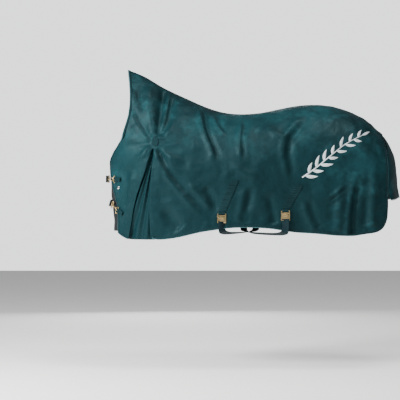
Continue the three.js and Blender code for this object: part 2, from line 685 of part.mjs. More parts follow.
// The belly strap: folded round the hook plate's bar, down over the hem, under the belly in a square
// curve, and up the other side to the foot of its band there.
const belly = { side: 334, squareness: 4, depth: 44, steps: 8 };
const power = (value) => Math.sign(value) * Math.pow(Math.abs(value), 2 / belly.squareness);
function bellyStrap(bar, [offX, offZ], lowest) {
  const folded = [
    [0, 3.1, -24], [0, 3.1, -9],
    ...[0, 0.25, 0.5, 0.75, 1].map((a) => [
      0, foldRadius * Math.cos(a * Math.PI), foldRadius * Math.sin(a * Math.PI),
    ]),
    [0, -3.1, -9],
  ].map(([x, y, z]) => [bar.x + x, bar.y + y, bar.z + z]);
  const under = Array.from({ length: belly.steps + 1 }, (_, i) => {
    const turn = (i / belly.steps) * Math.PI;
    const y = -belly.side * power(Math.cos(turn));
    const x = THREE.MathUtils.lerp(bar.x, offX, (y / belly.side + 1) / 2);
    return [x, y, lowest + belly.depth * (1 - power(Math.sin(turn)))];
  });
  const sewn = faceAt(offX, offZ - 12);
  const end = [offX, -sewn.point.y + 2.6, offZ - 2];
  const route = spline([...folded, ...under, [offX, -sewn.point.y + 6, offZ - 36], end]);
  return strap(route, beltWidth, beltThickness, 72, () => new THREE.Vector3(1, 0, 0));
}

for (const [name, { top, foot, off, offTop, lowest }] of Object.entries(surcingles)) {
  add(`left_${name}_surcingle_band`, sewnBand(top, foot), webbing);
  add(`right_${name}_surcingle_band`, sewnBand(offTop, off), webbing).scale.y = -1;

  const clasp = new THREE.Group();
  clasp.position.set(foot[0], faceAt(...foot).point.y - plateStandOff, foot[1] - 9);
  rug.add(clasp);
  add(`${name}_slot_plate`, slotPlate(), brass, clasp);
  add(`${name}_plate_loop`, plateLoop(), webbing, clasp).position.z = -plate.rim / 2;
  const hooked = new THREE.Group();
  hooked.position.z = -hookDrop;
  clasp.add(hooked);
  add(`${name}_hook_plate`, hookPlate(), brass, hooked);
  const bar = clasp.position.clone();
  bar.z -= hookDrop + hookPlateLong - plate.rim / 2;
  add(`${name}_belly_strap`, bellyStrap(bar, off, lowest), webbing);
}

export default rug;
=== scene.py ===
import json
import math

import bmesh
import bpy
import numpy as np
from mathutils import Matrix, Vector
from mathutils.bvhtree import BVHTree
from mathutils.noise import noise


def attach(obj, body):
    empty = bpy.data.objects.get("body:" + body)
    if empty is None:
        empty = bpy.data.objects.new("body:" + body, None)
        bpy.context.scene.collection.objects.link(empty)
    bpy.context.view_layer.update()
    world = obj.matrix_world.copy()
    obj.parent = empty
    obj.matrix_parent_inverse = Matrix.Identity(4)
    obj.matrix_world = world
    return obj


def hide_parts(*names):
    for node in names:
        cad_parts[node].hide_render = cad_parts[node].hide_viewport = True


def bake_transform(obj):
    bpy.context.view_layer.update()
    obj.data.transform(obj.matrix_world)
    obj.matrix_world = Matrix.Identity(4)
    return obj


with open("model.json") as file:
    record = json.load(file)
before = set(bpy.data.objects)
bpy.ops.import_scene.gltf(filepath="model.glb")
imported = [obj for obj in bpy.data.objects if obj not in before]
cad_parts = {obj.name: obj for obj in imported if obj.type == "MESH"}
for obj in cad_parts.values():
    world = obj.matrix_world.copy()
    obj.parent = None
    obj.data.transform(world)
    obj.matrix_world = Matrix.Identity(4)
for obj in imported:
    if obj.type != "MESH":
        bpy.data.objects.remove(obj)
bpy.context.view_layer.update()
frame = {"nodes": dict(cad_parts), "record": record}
print("frame: the packed model is in place")


# The camera stands level, square to the horse's left side.
view = {"at": (-0.219, -10.0, -0.531), "lens": 144, "sensor": 36}
camera = bpy.data.objects.new("camera", bpy.data.cameras.new("camera"))
bpy.context.collection.objects.link(camera)
camera.location = view["at"]
camera.rotation_euler = (math.radians(90), 0, 0)
camera.data.lens = view["lens"]
camera.data.sensor_width = view["sensor"]
camera.data.clip_end = 100
bpy.context.scene.camera = camera


class Wire:  # an output in a node tree, on which Python's operators add Math nodes
    def __init__(self, finish, socket):
        self.finish = finish
        self.socket = socket

    def math(self, operation, *values):
        return self.finish.node("ShaderNodeMath", {"operation": operation}, dict(enumerate(values)))

    def __add__(self, other):
        return self.math("ADD", self, other)

    def __radd__(self, other):
        return self.math("ADD", other, self)

    def __sub__(self, other):
        return self.math("SUBTRACT", self, other)

    def __rsub__(self, other):
        return self.math("SUBTRACT", other, self)

    def __mul__(self, other):
        return self.math("MULTIPLY", self, other)

    def __truediv__(self, other):
        return self.math("DIVIDE", self, other)

    def __pow__(self, other):
        return self.math("POWER", self, other)

    def __mod__(self, other):
        return self.math("FLOORED_MODULO", self, other)

    def __abs__(self):
        return self.math("ABSOLUTE", self)

    def __lt__(self, other):
        return self.math("LESS_THAN", self, other)


class Finish:  # a material with its shader, and the values that are the same all over it
    def __init__(self, name, even):
        self.material = bpy.data.materials.new(name)
        self.material.use_nodes = True
        self.tree = self.material.node_tree
        self.shader = self.tree.nodes["Principled BSDF"]
        for label, value in even.items():
            self.shader.inputs[label].default_value = value

    def node(self, kind, settings=None, values=None, output=0):
        made = self.tree.nodes.new(kind)
        for label, value in (settings or {}).items():
            setattr(made, label, value)
        for label, value in (values or {}).items():
            self.join(made.inputs[label], value)
        return Wire(self, made.outputs[output])

    def join(self, socket, value):
        if isinstance(value, Wire):
            self.tree.links.new(value.socket, socket)
        else:
            socket.default_value = value

    def feed(self, **values):
        for label, value in values.items():
            self.join(self.shader.inputs[label], value)

    def objectPlace(self):
        return self.node("ShaderNodeTexCoord", output="Object")

    def clothPlace(self):  # metres along and across the piece, from its own UV map
        spread = self.node("ShaderNodeUVMap", {"uv_map": "cloth"})
        split = self.node("ShaderNodeSeparateXYZ", values={0: spread})
        return split, Wire(self, split.socket.node.outputs["Y"])

    def grain(self, scale, detail=3, rough=0.55, place=None):
        vector = place or self.objectPlace()
        values = {"Vector": vector, "Scale": scale, "Detail": detail, "Roughness": rough}
        return self.node("ShaderNodeTexNoise", values=values)

    def stretched(self, scale):
        settings = {"operation": "MULTIPLY"}
        return self.node("ShaderNodeVectorMath", settings, {0: self.objectPlace(), 1: scale})

    def mix(self, share, first, second):
        settings = {"data_type": "RGBA", "clamp_factor": True}
        return self.node("ShaderNodeMix", settings, {0: share, 6: first, 7: second}, 2)

    def bump(self, height, distance, strength=1.0, under=None):
        values = {"Height": height, "Distance": distance, "Strength": strength}
        if under:
            values["Normal"] = under
        return self.node("ShaderNodeBump", values=values)


def shade(red, green, blue):  # a colour as it is seen, from 0 to 255, as the shader wants it
    def linear(value):
        value /= 255
        return value / 12.92 if value <= 0.04045 else ((value + 0.055) / 1.055) ** 2.4

    return (linear(red), linear(green), linear(blue), 1.0)


# The outer cloth: coated ripstop, in a teal that goes darker and bluer in patches, with painted shade round
# the belly.
outerLook = {
    "middle": shade(15, 50, 55), "pale": shade(29, 70, 75), "deep": shade(6, 27, 31),
    "thread": shade(34, 86, 88), "pitch": 0.0055, "stitchPitch": 0.007,
    "bellyShadeAt": 0.06, "bellyShadeNarrow": 1.25, "bellyShadeBelow": 0.33, "bellyShadeGain": 4.6,
}


def outerFinish():
    finish = Finish("outerCloth", {"Specular IOR Level": 0.19, "Specular Tint": (0.5, 0.88, 0.92, 1)})
    along, down = finish.clothPlace()
    pitch = outerLook["pitch"]
    ribs = abs(along / pitch % 1 - 0.5) * 2
    rungs = abs(down / pitch % 1 - 0.5) * 2
    lines = (ribs ** 14 + rungs ** 14)
    patches = finish.grain(2.6, 4, 0.6)
    clouds = finish.grain(9, 5, 0.65)
    paled = finish.mix((patches - 0.42) * 3.2, outerLook["deep"], outerLook["middle"])
    palest = finish.mix((clouds - 0.5) * 2.6, paled, outerLook["pale"])
    # painted shade: this mask darkens the cloth towards the belly, where shade falls
    nearBellyShade = 1 - abs(along + outerLook["bellyShadeAt"]) * outerLook["bellyShadeNarrow"]
    belly = nearBellyShade * (down - outerLook["bellyShadeBelow"]) * outerLook["bellyShadeGain"]
    bellyShaded = finish.mix(belly * (0.7 + patches), palest, outerLook["deep"])  # painted shade, darker round the belly
    colour = finish.mix(lines * 0.22, bellyShaded, outerLook["thread"])
    seam = (abs(down - 0.006) < 0.0008) * (along / outerLook["stitchPitch"] % 1 < 0.62)
    crinkle = finish.grain(38, 6, 0.62)
    creases = abs(finish.grain(14, 4, 0.5) - 0.5)
    small = finish.bump(lines + seam * 2, 0.00035, 0.7)
    middling = finish.bump(crinkle, 0.0035, 0.55, small)
    finish.feed(**{
        "Base Color": finish.mix(seam * 0.7, colour, shade(18, 44, 48)),
        "Roughness": 0.38 + clouds * 0.2,
        "Normal": finish.bump(creases, 0.006, 0.5, middling),
    })
    return finish.material


def liningFinish():  # a black mesh with rows of small dots
    finish = Finish("liningCloth", {"Specular IOR Level": 0.25})
    along, down = finish.clothPlace()
    dots = ((abs(along / 0.004 % 1 - 0.5) < 0.28) * (abs(down / 0.004 % 1 - 0.5) < 0.28))
    clouds = finish.grain(20, 3)
    base = finish.mix(clouds, shade(14, 17, 19), shade(27, 31, 33))
    finish.feed(**{
        "Base Color": finish.mix(dots * 0.6, base, shade(5, 6, 7)),
        "Roughness": 0.7 + clouds * 0.2,
        "Normal": finish.bump(1 - dots, 0.0005, 0.8),
    })
    return finish.material


def webFinish(name, tone, lit, rib=0.0018, edge=None):  # woven webbing or tape, ribbed across its length
    finish = Finish(name, {"Specular IOR Level": 0.12})
    along, across = finish.clothPlace()
    twill = abs((along / rib + across / rib * 0.5) % 1 - 0.5) * 2
    rows = abs(across / (rib * 1.6) % 1 - 0.5) * 2
    worn = finish.grain(60, 4)
    colour = finish.mix(twill * 0.5 + worn * 0.4 - 0.1, tone, lit)
    if edge:  # painted highlight: a paler line along the fold of a binding
        colour = finish.mix((abs(across - 0.0146) < 0.0013) * 0.8, colour, edge)
    finish.feed(**{
        "Base Color": colour,
        "Roughness": 0.62 + worn * 0.25,
        "Normal": finish.bump(twill + rows * 0.6, 0.0004, 0.8),
    })
    return finish.material


def metalFinish(name, tone, lit, gloss):
    finish = Finish(name, {"Metallic": 1.0, "Specular IOR Level": 0.5})
    worn = finish.grain(90, 5, 0.6)
    scratched = finish.grain(1.0, 4, 0.7, finish.stretched((900, 160, 300)))
    finish.feed(**{
        "Base Color": finish.mix(worn, tone, lit),
        "Roughness": gloss + worn * 0.12 + scratched * 0.06,
        "Normal": finish.bump(scratched, 0.00004, 0.5),
    })
    return finish.material


def threadFinish(name, tone, lit):  # satin stitch, with its threads lying across each shape
    finish = Finish(name, {"Specular IOR Level": 0.6, "Sheen Weight": 0.3})
    along, across = finish.clothPlace()
    threads = abs((along + across * 0.35) / 0.0011 % 1 - 0.5) * 2
    uneven = finish.grain(70, 3)
    finish.feed(**{
        "Base Color": finish.mix(threads * 0.5 + uneven * 0.3, tone, lit),
        "Roughness": 0.3 + uneven * 0.2,
        "Normal": finish.bump(threads, 0.0004, 0.9),
    })
    return finish.material


outerCloth = outerFinish()
liningCloth = liningFinish()
# the tape's pale edge colour is a painted highlight along the binding's fold
tape = webFinish("bindingTape", shade(4, 22, 26), shade(16, 48, 52), edge=shade(78, 122, 126))
greenWebbing = webFinish("greenWebbing", shade(4, 25, 28), shade(12, 42, 46), 0.0026)
beltWebbing = webFinish("beltWebbing", shade(5, 20, 24), shade(14, 38, 43), 0.0026)
blackWebbing = webFinish("blackWebbing", shade(12, 15, 16), shade(34, 38, 40), 0.0026)
piping = threadFinish("reflectivePiping", shade(140, 150, 154), shade(205, 212, 214))
brass = metalFinish("brass", shade(176, 148, 96), shade(226, 204, 156), 0.2)
nickel = metalFinish("nickel", shade(205, 208, 210), shade(240, 241, 242), 0.14)
silverThread = threadFinish("silverThread", shade(158, 170, 174), shade(222, 228, 230))
print("finishes: made")


# Mesh tools.

inside = Vector((0, 0, -0.4))  # a place inside the horse, from which faces point outwards


def cadMesh(name):  # a copy of a CAD node, with its loose triangles merged
    bm = bmesh.new()
    bm.from_mesh(frame["nodes"][name].data)
    bmesh.ops.remove_doubles(bm, verts=bm.verts, dist=1e-5)
    bm.normal_update()
    return bm


def smoothAreas(bm, bend=50):  # the faces in groups, parted by the edges that bend more than that
    left, areas = set(bm.faces), []
    for first in list(bm.faces):
        if first not in left:
            continue
        left.discard(first)
        area = [first]
        for face in area:
            for edge in face.edges:
                if len(edge.link_faces) == 2 and edge.calc_face_angle(4) < math.radians(bend):
                    fresh = [other for other in edge.link_faces if other in left]
                    left.difference_update(fresh)
                    area.extend(fresh)
        areas.append(area)
    return areas


def outerSide(name):  # the outer one of a cloth node's two wide sides, in quads
    bm = cadMesh(name)

    def outwards(area):
        return sum(f.calc_area() * f.normal.dot(f.calc_center_median() - inside) for f in area)

    kept = set(max(smoothAreas(bm), key=outwards))
    bmesh.ops.delete(bm, geom=[f for f in bm.faces if f not in kept], context="FACES")
    bmesh.ops.join_triangles(
        bm, faces=bm.faces, angle_face_threshold=math.pi, angle_shape_threshold=math.pi,
        topology_influence=1,
    )
    return bm


def newObject(name, bm):
    mesh = bpy.data.meshes.new(name)
    bm.to_mesh(mesh)
    bm.free()
    made = bpy.data.objects.new(name, mesh)
    bpy.context.collection.objects.link(made)
    return made


def withModifiers(bm, *modifiers):  # the mesh with modifiers applied
    work = newObject("work", bm)
    for kind, settings in modifiers:
        modifier = work.modifiers.new(kind.lower(), kind)
        for label, value in settings.items():
            setattr(modifier, label, value)
    bpy.context.view_layer.update()
    mesh = bpy.data.meshes.new_from_object(work.evaluated_get(bpy.context.evaluated_depsgraph_get()))
    made = bmesh.new()
    made.from_mesh(mesh)
    bpy.data.objects.remove(work)
    bpy.data.meshes.remove(mesh)
    return made


def smoothed(bm, levels):
    settings = {"levels": levels, "render_levels": levels, "boundary_smooth": "ALL"}
    return withModifiers(bm, ("SUBSURF", settings))


def places(bm):
    return np.array([v.co for v in bm.verts])


def move(bm, shifts):  # each point along its normal
    bm.normal_update()
    for vert, shift in zip(bm.verts, shifts):
        vert.co += vert.normal * shift


def spread(bm, spreadAt):  # the UV map, in metres, from each point's place
    layer = bm.loops.layers.uv.get("cloth") or bm.loops.layers.uv.new("cloth")
    for face in bm.faces:
        for loop in face.loops:
            loop[layer].uv = spreadAt(loop.vert.co)


def piece(name, bm, finishes, replaced, body="rug", thick=None, rides=True):
    made = newObject(name, bm)
    for finish in finishes:
        made.data.materials.append(finish)
    made.data.shade_smooth()
    if thick:
        wall = made.modifiers.new("thickness", "SOLIDIFY")
        wall.thickness = thick
        wall.offset = -1
        wall.use_even_offset = False
        wall.material_offset = len(finishes) - 1
    if rides:
        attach(made, body)
    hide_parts(*replaced)
    return made


def swept(path, section):  # a closed section carried along frames of (centre, across, outward)
    bm = bmesh.new()
    bmesh.ops.create_grid(bm, x_segments=len(section), y_segments=len(path) - 1, size=0.5)
    layer = bm.loops.layers.uv.new("cloth")
    lengths = np.concatenate([[0], np.cumsum([(b[0] - a[0]).length for a, b in zip(path, path[1:])])])
    ring = section + section[:1]
    rims = np.concatenate([[0], np.cumsum([math.dist(a, b) for a, b in zip(ring, ring[1:])])])

    def cell(co):
        return round((co.x + 0.5) * len(section)), round((co.y + 0.5) * (len(path) - 1))

    for face in bm.faces:
        for loop in face.loops:
            i, j = cell(loop.vert.co)
            loop[layer].uv = (lengths[j], rims[i])
    for vert in bm.verts:
        i, j = cell(vert.co)
        centre, across, outward = path[j]
        a, o = ring[i]
        vert.co = centre + across * a + outward * o
    bmesh.ops.remove_doubles(bm, verts=bm.verts, dist=1e-6)
    bmesh.ops.holes_fill(bm, edges=[e for e in bm.edges if e.is_boundary], sides=0)
    bmesh.ops.recalc_face_normals(bm, faces=bm.faces)
    return bm


def curved(points, count):  # a smooth line through points
    points = [np.array(p, float) for p in points]
    ends = [2 * points[0] - points[1], *points, 2 * points[-1] - points[-2]]
    line = []
    for k in range(count + 1):
        at = k / count * (len(points) - 1)
        i = min(int(at), len(points) - 2)
        t = at - i
        a, b, c, d = ends[i:i + 4]
        line.append(0.5 * (
            2 * b + (c - a) * t + (2 * a - 5 * b + 4 * c - d) * t**2 + (3 * b - a - 3 * c + d) * t**3
        ))
    return line


# The outer cloth, and the folds that are seen in it from the side.

def sideView(co):  # where points are seen against the middle plane, from the camera
    eye = np.array(view["at"])
    co = co.copy()
    co[:, 1] = -np.abs(co[:, 1])
    grown = -eye[1] / (co[:, 1] - eye[1])
    return np.stack([eye[0] + (co[:, 0] - eye[0]) * grown, eye[2] + (co[:, 2] - eye[2]) * grown], axis=1)


def step(value, low, high):
    t = np.clip((value - low) / (high - low), 0, 1)
    return t * t * (3 - 2 * t)


def foldShift(seen, path, width, depth, fade=(0.2, 0.3), kind="round", spreadTo=1.0):
    line = np.array(curved(path, 20))
    total = len(line) - 1
    nearest, side, share = np.full(len(seen), 9.0), np.zeros(len(seen)), np.zeros(len(seen))
    for i, (a, b) in enumerate(zip(line, line[1:])):
        way = b - a
        t = np.clip(((seen - a) @ way) / (way @ way), 0, 1)
        gap = seen - (a + t[:, None] * way)
        far = np.linalg.norm(gap, axis=1)
        near = far < nearest
        nearest[near] = far[near]
        side[near] = np.sign(way[0] * gap[near, 1] - way[1] * gap[near, 0])
        share[near] = (i + t[near]) / total
    span = nearest / (width * (1 + (spreadTo - 1) * share))
    taper = step(share, 0, fade[0]) * step(1 - share, 0, fade[1])
    if kind == "round":
        shape = np.exp(-span**2)
    elif kind == "sharp":
        shape = np.exp(-1.6 * span)
    else:  # a roll beside a hollow
        shape = 1.6 * span * side * np.exp(-span**2)
    return depth * taper * shape


folds = [
    dict(path=[(-0.644, 0.019), (-0.588, -0.075), (-0.525, -0.165)],
         width=0.016, depth=-0.0065, fade=(0.3, 0.1), kind="roll"),
    dict(path=[(-0.660, 0.16), (-0.610, 0.06), (-0.545, -0.06)], width=0.03, depth=0.005, fade=(0.3, 0.4)),
    dict(path=[(-0.440, 0.165), (-0.463, 0.019), (-0.482, -0.141)],
         width=0.026, depth=-0.015, fade=(0.06, 0.1)),
    dict(path=[(-0.385, 0.120), (-0.415, -0.031), (-0.470, -0.144)],
         width=0.020, depth=-0.010, fade=(0.15, 0.1)),
    dict(path=[(-0.410, 0.140), (-0.440, -0.010), (-0.478, -0.150)],
         width=0.012, depth=0.007, fade=(0.1, 0.1)),
    dict(path=[(-0.540, 0.190), (-0.537, 0.030), (-0.506, -0.150)],
         width=0.030, depth=0.009, fade=(0.2, 0.1)),
    dict(path=[(-0.590, 0.200), (-0.600, 0.110), (-0.560, 0.010)],
         width=0.022, depth=-0.006, fade=(0.2, 0.3)),
    dict(path=[(-0.500, -0.190), (-0.430, -0.345), (-0.356, -0.440), (-0.256, -0.550), (-0.130, -0.655)],
         width=0.016, depth=-0.010, fade=(0.1, 0.3), kind="roll", spreadTo=2.2),
    dict(path=[(-0.498, -0.180), (-0.400, -0.262), (-0.290, -0.310)],
         width=0.014, depth=0.007, fade=(0.05, 0.5), spreadTo=2),
    dict(path=[(-0.495, -0.172), (-0.410, -0.190), (-0.320, -0.170)],
         width=0.012, depth=0.006, fade=(0.05, 0.5), spreadTo=2.2),
    dict(path=[(-0.492, -0.165), (-0.430, -0.110), (-0.360, -0.020)],
         width=0.014, depth=0.006, fade=(0.05, 0.5), spreadTo=2),
    dict(path=[(-0.508, -0.200), (-0.480, -0.330), (-0.470, -0.450)],
         width=0.012, depth=0.006, fade=(0.1, 0.5), spreadTo=1.8),
    dict(path=[(-0.525, -0.195), (-0.600, -0.270), (-0.690, -0.300)],
         width=0.014, depth=0.005, fade=(0.1, 0.5), spreadTo=1.8),
    dict(path=[(-0.530, -0.180), (-0.610, -0.190), (-0.700, -0.190)],
         width=0.012, depth=-0.004, fade=(0.1, 0.5), spreadTo=1.8),
    dict(path=[(-0.210, 0.040), (-0.185, -0.094), (-0.138, -0.206), (-0.110, -0.300)],
         width=0.022, depth=-0.011, fade=(0.15, 0.3), kind="roll"),
    dict(path=[(-0.130, 0.010), (-0.100, -0.069), (-0.040, -0.140)],
         width=0.018, depth=-0.007, fade=(0.2, 0.4), kind="roll"),
    dict(path=[(0.060, -0.010), (0.037, -0.160), (0.050, -0.300)],
         width=0.018, depth=-0.008, fade=(0.3, 0.3), kind="roll"),
    dict(path=[(0.180, -0.030), (0.240, -0.110), (0.330, -0.150)],
         width=0.022, depth=0.006, fade=(0.3, 0.3)),
    dict(path=[(0.470, 0.010), (0.362, -0.100), (0.325, -0.169), (0.319, -0.256), (0.338, -0.344),
               (0.360, -0.420)],
         width=0.030, depth=-0.011, fade=(0.2, 0.3), kind="roll"),
    dict(path=[(0.769, -0.340), (0.744, -0.500), (0.725, -0.640), (0.719, -0.750)],
         width=0.026, depth=-0.012, fade=(0.3, 0.02), kind="roll"),
    dict(path=[(0.850, -0.300), (0.845, -0.480), (0.835, -0.700)],
         width=0.030, depth=0.008, fade=(0.3, 0.05), kind="roll"),
    dict(path=[(0.640, -0.400), (0.655, -0.560), (0.640, -0.730)],
         width=0.030, depth=0.008, fade=(0.4, 0.05)),
    dict(path=[(0.700, -0.430), (0.637, -0.494), (0.560, -0.545)],
         width=0.014, depth=-0.006, fade=(0.3, 0.3), kind="roll"),
    dict(path=[(0.690, -0.480), (0.620, -0.540), (0.560, -0.570)],
         width=0.012, depth=-0.004, fade=(0.3, 0.3), kind="roll"),
    dict(path=[(0.819, -0.087), (0.856, -0.106), (0.906, -0.125)],
         width=0.010, depth=-0.006, fade=(0.1, 0.1), kind="sharp"),
    dict(path=[(-0.460, -0.580), (-0.394, -0.656), (-0.330, -0.715)],
         width=0.034, depth=-0.012, fade=(0.3, 0.2)),
    dict(path=[(-0.300, -0.420), (-0.230, -0.500), (-0.130, -0.590)],
         width=0.030, depth=0.007, fade=(0.3, 0.3)),
    dict(path=[(-0.194, -0.444), (-0.144, -0.531), (-0.094, -0.619)],
         width=0.028, depth=-0.012, fade=(0.2, 0.2)),
    dict(path=[(0.090, -0.430), (0.060, -0.560), (0.045, -0.680)],
         width=0.030, depth=-0.010, fade=(0.3, 0.1), kind="roll"),
    dict(path=[(0.190, -0.470), (0.230, -0.580), (0.250, -0.690)],
         width=0.028, depth=-0.009, fade=(0.3, 0.1)),
    dict(path=[(0.440, -0.520), (0.470, -0.620), (0.520, -0.720)],
         width=0.030, depth=-0.008, fade=(0.3, 0.1), kind="roll"),
    dict(path=[(-0.030, -0.300), (0.060, -0.360), (0.160, -0.390)],
         width=0.026, depth=0.006, fade=(0.3, 0.3)),
    dict(path=[(-0.745, -0.330), (-0.700, -0.420), (-0.690, -0.560), (-0.690, -0.700)],
         width=0.026, depth=-0.006, fade=(0.2, 0.2), kind="roll"),
    dict(path=[(-0.640, -0.330), (-0.655, -0.470), (-0.690, -0.640)],
         width=0.022, depth=0.006, fade=(0.3, 0.2)),
]

gathers = [  # radiating puckers, as [place seen from the side, reach, depth, how many]
    ((-0.506, -0.181), 0.085, 0.0034, 13),
]

# The bands' gathers on either side, from their top to their foot.
bandLines = {
    "left": [((-0.007, -0.410), (-0.088, -0.604)), ((0.385, -0.440), (0.298, -0.588))],
    "right": [((0.233, -0.416), (0.144, -0.620)), ((0.146, -0.416), (0.062, -0.620))],
}

calmSpots = [  # where fittings lie on the cloth
    ((-0.733, -0.404), 0.05), ((-0.716, -0.596), 0.05), ((-0.720, -0.455), 0.03),
    ((-0.088, -0.625), 0.05), ((0.298, -0.610), 0.05), ((0.062, -0.640), 0.04), ((0.144, -0.640), 0.04),
]

bandGather = {"pitch": 0.026, "reach": 0.045, "wave": 0.0022, "pull": 0.003}

clothSize = {
    "subdivisions": 3, "thick": 0.0044, "flat": (1.72, 1.06), "mergeWithin": 0.0075,
    "foldGain": 1.6, "broadWave": 0.0110, "middleWave": 0.007, "crinkle": 0.0018, "sharpCrinkle": 0.0060,
    "calm": 0.96, "farSeed": 40.0, "stillBack": 0.09,
}


def bandShift(seen, side):
    shift = np.zeros(len(seen))
    for top, foot in bandLines[side]:
        top, foot = np.array(top), np.array(foot)
        way = (foot - top) / np.linalg.norm(foot - top)
        along = (seen - top) @ way
        off = (seen - top) @ np.array([-way[1], way[0]])
        length = np.linalg.norm(foot - top)
        window = step(along, -0.03, 0.02) * step(length + 0.05 - along, 0, 0.05)
        turn = along * 2 * math.pi / bandGather["pitch"]
        wave = np.sin(turn + 3 * np.sin(along * 31) + 2 * np.sin(off * 40))
        nearBand = np.exp(-(off / bandGather["reach"]) ** 2)
        shift += window * nearBand * (bandGather["wave"] * wave - bandGather["pull"])
    return shift


def gatherShift(seen):
    shift = np.zeros(len(seen))
    for centre, reach, depth, count in gathers:
        gap = seen - np.array(centre)
        far = np.linalg.norm(gap, axis=1)
        turn = np.arctan2(gap[:, 1], gap[:, 0])
        wave = np.cos(count * turn + 2 * np.sin(2 * turn))
        shift += depth * wave * np.exp(-((far / reach) ** 2)) * step(far, 0.01, 0.035)
    return shift


def clothShift(co, farSide):
    seen = sideView(co)
    shift = gatherShift(seen) + bandShift(seen, "right" if farSide else "left")
    for fold in folds:
        shift += clothSize["foldGain"] * foldShift(seen, **fold)
    seed = clothSize["farSeed"] if farSide else 0.0
    for i, (x, y, z) in enumerate(co):
        low = min(max((0.05 - z) / 0.5, 0), 1)
        broad = noise(Vector((x * 4.5 + seed, y * 2, z * 2.2))) * clothSize["broadWave"] * (0.4 + 0.6 * low)
        middling = noise(Vector((x * 11 + seed, y * 7, z * 6 + 3))) * clothSize["middleWave"]
        ridge = 0.5 - abs(noise(Vector((x * 9 + z * 5 + seed, y * 8, z * 12 - x * 4))))
        fine = noise(Vector((x * 34 + seed, y * 30, z * 30))) * clothSize["crinkle"]
        shift[i] += broad + middling + (ridge - 0.25) * clothSize["sharpCrinkle"] + fine
    for centre, reach in calmSpots:
        far = np.linalg.norm(seen - np.array(centre), axis=1)
        shift *= 1 - clothSize["calm"] * np.exp(-(far / reach) ** 2)
    return shift * step(np.abs(co[:, 1]), 0.0, clothSize["stillBack"])


def makeCloth():
    bm = bmesh.new()
    for side in ("left", "right"):
        for panel in ("front_panel", "side_panel"):
            part = outerSide(f"{side}_{panel}")
            held = bpy.data.meshes.new("held")
            part.to_mesh(held)
            part.free()
            bm.from_mesh(held)
            bpy.data.meshes.remove(held)
    bmesh.ops.remove_doubles(bm, verts=bm.verts, dist=clothSize["mergeWithin"])
    print("cloth: quads", len(bm.faces), "triangles", sum(len(f.verts) == 3 for f in bm.faces))
    bm = smoothed(bm, clothSize["subdivisions"])
    co = places(bm)
    shifts = np.where(co[:, 1] > 0, clothShift(co * np.array([1, -1, 1]), True), clothShift(co, False))
    move(bm, shifts)
    return bm


cloth = makeCloth()
clothTree = BVHTree.FromBMesh(cloth)
print("cloth: folded,", len(cloth.faces), "faces")


def onCloth(x, z, side):  # the cloth's outer face at a place in the side view, and the way it faces
    place, normal, _, _ = clothTree.ray_cast(Vector((x, side * 2, z)), Vector((0, -side, 0)))
    if place is None or place.y * side < 0:
        return None, None
    return place, normal if normal.y * side > 0 else -normal


def ridgeHeight(x):  # the height of the cloth's back, for how far down the cloth a place is
    place, _, _, _ = clothTree.ray_cast(Vector((min(max(x, -0.655), 0.9), 0.004, 2)), Vector((0, 0, -1)))
    return place.z if place else -0.1


ridgeStep = 0.02
ridgeAt = {i: ridgeHeight(i * ridgeStep) for i in range(-45, 56)}


def clothSpread(co):  # along the rug, and nearly how far down the cloth's curve from its back
    i = math.floor(co.x / ridgeStep)
    t = co.x / ridgeStep - i
    ridge = ridgeAt[i] * (1 - t) + ridgeAt[i + 1] * t
    drop = max(ridge - co.z, 0)
    return co.x, (abs(co.y) ** 1.25 + drop ** 1.25) ** 0.8


spread(cloth, clothSpread)


def edgeInOrder(bm):  # the edge of the whole cloth, in order from the middle of the neck
    edges = [e for e in bm.edges if e.is_boundary]
    joined = {}
    for edge in edges:
        for vert in edge.verts:
            joined.setdefault(vert, []).append(edge.other_vert(vert))
    first = min((v for v in joined if abs(v.co.y) < 0.002), key=lambda v: v.co.x)
    line, seen = [first], {first}
    here = min(joined[first], key=lambda v: v.co.y)
    while here not in seen:
        line.append(here)
        seen.add(here)
        here = next((v for v in joined[here] if v not in seen), first)
    return line


def edgeNormals(line):
    return [(v.co.copy(), v.normal.copy()) for v in line]


cloth.normal_update()
rim = edgeNormals(edgeInOrder(cloth))
corners = {"frontFoot": (-0.655, -0.776), "rearFoot": (-0.522, -0.776)}  # where the slits meet the hem


def cornerIndex(corner, side):
    x, z = corners[corner]
    near = [(math.hypot(co.x - x, co.z - z), i) for i, (co, _) in enumerate(rim) if co.y * side > 0]
    return min(near)[1]


tailIndex = max((co.x, i) for i, (co, _) in enumerate(rim) if abs(co.y) < 0.004)[1]
print("cloth: edge of", len(rim), "points")

bindingSection = [
    (0.0125, 0.0009), (0.0122, 0.0017), (0.006, 0.0020), (0.0, 0.0019), (-0.0028, 0.0006),
    (-0.0036, -0.0022), (-0.0028, -0.0050), (0.0, -0.0062), (0.006, -0.0064), (0.0122, -0.0060),
    (0.0125, -0.0052),
]


def edgeFrames(line, turnOver):
    frames = []
    for i, (co, _) in enumerate(line):
        nearby = line[max(i - 3, 0):i + 4]
        way = (nearby[-1][0] - nearby[0][0]).normalized()
        normal = sum((n for _, n in nearby), Vector()).normalized()
        inwards = normal.cross(way) * (-1 if turnOver else 1)
        frames.append((co, inwards.normalized(), normal))
    return frames


def bindingAlong(name, line, side, replaced):
    made = swept(edgeFrames(line, side > 0), bindingSection)
    return piece(name, made, [tape], replaced)


